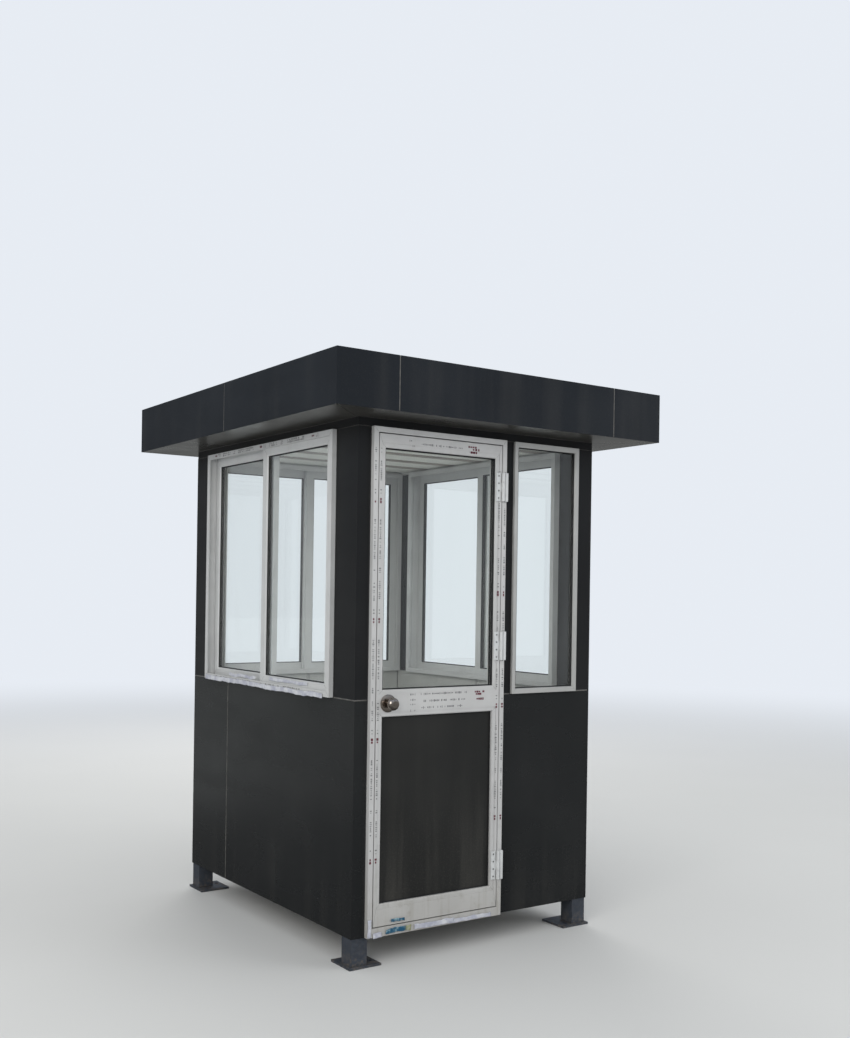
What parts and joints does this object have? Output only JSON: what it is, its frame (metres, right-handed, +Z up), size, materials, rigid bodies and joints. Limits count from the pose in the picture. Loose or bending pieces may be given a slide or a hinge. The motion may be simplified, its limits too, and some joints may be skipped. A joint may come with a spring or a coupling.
{
  "type": "security guard booth",
  "caption": "Small clad guard booth on short legs with a flat overhanging roof box, sliding windows, a fixed window and a half-glazed door.",
  "frame": {"origin": "centre of the booth in plan, on the ground at the underside of the base plates", "axes": "+Z up, -Y out of the wall with the door, +X to the right of someone facing the door"},
  "size_m": [1.83, 2.122, 2.609],
  "materials": {
    "dark_cladding": "semi-gloss coil-coated composite panel",
    "white_pvc": "extruded white PVC under matt protective film",
    "window_glass": "clear float glass",
    "galvanised_steel": "dull zinc-coated tube",
    "primed_steel": "matt grey primer",
    "floor_vinyl": "vinyl-faced board",
    "lining_board": "off-white faced board",
    "stainless": "satin stainless steel",
    "roof_sheet": "plain coated sheet"
  },
  "bodies": {
    "booth": {"back_wall_panel": "dark_cladding", "back_window_frame": "white_pvc", "back_window_panes": "window_glass", "back_window_sashes": "white_pvc", "ceiling": "lining_board", "column_back_left": "dark_cladding", "column_back_right": "dark_cladding", "column_front_left": "dark_cladding", "column_front_right": "dark_cladding", "door_frame": "white_pvc", "door_post": "dark_cladding", "fascia_back": "dark_cladding", "fascia_front": "dark_cladding", "fascia_left": "dark_cladding", "fascia_right": "dark_cladding", "floor_board": "floor_vinyl", "floor_frame": "primed_steel", "front_wall_panel": "dark_cladding", "front_window_frame": "white_pvc", "front_window_pane": "window_glass", "header": "dark_cladding", "hinge_frame_halves": "white_pvc", "left_wall_panels": "dark_cladding", "left_window_frame": "white_pvc", "left_window_panes": "window_glass", "left_window_sashes": "white_pvc", "leg_back_left": "galvanised_steel", "leg_back_right": "galvanised_steel", "leg_front_left": "galvanised_steel", "leg_front_right": "galvanised_steel", "right_wall_panels": "dark_cladding", "right_window_frame": "white_pvc", "right_window_panes": "window_glass", "right_window_sashes": "white_pvc", "roof_deck": "roof_sheet", "roof_frame": "primed_steel", "soffit_panels": "dark_cladding", "wall_linings": "lining_board"},
    "door": {"door_leaf": "white_pvc", "door_pane": "window_glass", "door_panel": "dark_cladding", "hinge_leaf_halves": "white_pvc", "knob_rosettes": "stainless"},
    "knob": {"door_knobs": "stainless"}
  },
  "joints": [
    {"name": "door_swing", "type": "hinge", "parent": "booth", "child": "door", "pos_m": [0.0945, -0.873, 1.242], "axis": [0, 0, 1], "range_deg": [0, 110]},
    {"name": "knob_turn", "type": "hinge", "parent": "door", "child": "knob", "pos_m": [-0.52, -0.839, 1.14], "axis": [0, 1, 0], "range_deg": [-45, 45], "stiffness_Nm_per_rad": 0.3}
  ]
}
